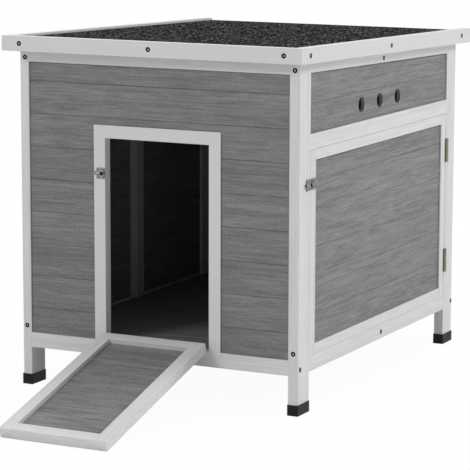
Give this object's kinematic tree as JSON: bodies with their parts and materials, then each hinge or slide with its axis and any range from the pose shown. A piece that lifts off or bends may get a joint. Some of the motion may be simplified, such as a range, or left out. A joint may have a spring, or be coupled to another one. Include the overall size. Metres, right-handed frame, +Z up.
{
  "type": "wooden chicken coop",
  "caption": "Raised boarded hen coop on legs, with a felted lean-to roof, a fold-down ramp door in front and a latched side door under round vents.",
  "frame": {"origin": "on the ground, in the middle of the whole box with the ramp lowered", "axes": "+Z up; the doorway and ramp face -Y, the side door is on +X"},
  "size_m": [0.65, 1.2226, 0.7037],
  "materials": {
    "white_timber": "white water-based stain",
    "grey_boards": "grey water-based stain",
    "roof_board": "plain softwood",
    "roofing_felt": "bitumen felt with mineral granules",
    "black_caps": "matt",
    "black_knobs": "gloss",
    "latch_steel": "zinc-plated",
    "hinge_brass": "brass-plated, slightly dull"
  },
  "bodies": {
    "cabin": {"post_front_left": "white_timber", "foot_cap_front_left": "black_caps", "post_front_right": "white_timber", "foot_cap_front_right": "black_caps", "bottom_rail_front": "white_timber", "top_rail_front": "white_timber", "front_boards": "grey_boards", "post_rear_left": "white_timber", "foot_cap_rear_left": "black_caps", "post_rear_right": "white_timber", "foot_cap_rear_right": "black_caps", "bottom_rail_rear": "white_timber", "top_rail_rear": "white_timber", "rear_boards": "grey_boards", "bottom_rail_left": "white_timber", "bottom_rail_right": "white_timber", "middle_rail_right": "white_timber", "top_rail_left": "white_timber", "top_rail_right": "white_timber", "doorway_jamb_left": "white_timber", "doorway_jamb_right": "white_timber", "doorway_head": "white_timber", "fascia_front": "white_timber", "fascia_left": "white_timber", "fascia_right": "white_timber", "left_boards": "grey_boards", "right_upper_boards": "grey_boards", "left_wall_batten": "white_timber", "floor_boards": "grey_boards", "floor_bearers": "white_timber", "roof_board": "roof_board", "roofing_felt": "roofing_felt", "door_hinge_post_leaves": "hinge_brass", "door_hinge_pins": "hinge_brass", "ramp_hinge_wall_leaves": "hinge_brass", "ramp_hinge_pins": "hinge_brass", "front_bolt_plate": "latch_steel", "side_bolt_plate": "latch_steel"},
    "ramp": {"ramp_stile_left": "white_timber", "ramp_stile_right": "white_timber", "ramp_rail_hinge_end": "white_timber", "ramp_rail_free_end": "white_timber", "ramp_panel": "grey_boards", "ramp_keeper": "latch_steel", "ramp_hinge_ramp_leaves": "hinge_brass"},
    "side_door": {"door_stile_front": "white_timber", "door_stile_rear": "white_timber", "door_rail_bottom": "white_timber", "door_rail_top": "white_timber", "door_boards": "grey_boards", "door_keeper": "latch_steel", "door_hinge_door_leaves": "hinge_brass"},
    "front_bolt": {"front_bolt_rod": "latch_steel", "front_bolt_knob": "black_knobs"},
    "side_bolt": {"side_bolt_rod": "latch_steel", "side_bolt_knob": "black_knobs"}
  },
  "joints": [
    {"name": "ramp_hinge", "type": "hinge", "parent": "cabin", "child": "ramp", "pos_m": [0.001, -0.21633, 0.1049], "axis": [-1, 0, 0], "range_deg": [0, 105.42]},
    {"name": "side_door_hinge", "type": "hinge", "parent": "cabin", "child": "side_door", "pos_m": [0.30825, 0.52532, 0.306], "axis": [0, 0, 1], "range_deg": [0, 180]},
    {"name": "front_bolt_slide", "type": "slide", "parent": "cabin", "child": "front_bolt", "axis": [1, 0, 0], "range_m": [0, 0.012]},
    {"name": "side_bolt_slide", "type": "slide", "parent": "cabin", "child": "side_bolt", "axis": [0, 1, 0], "range_m": [0, 0.012]}
  ]
}
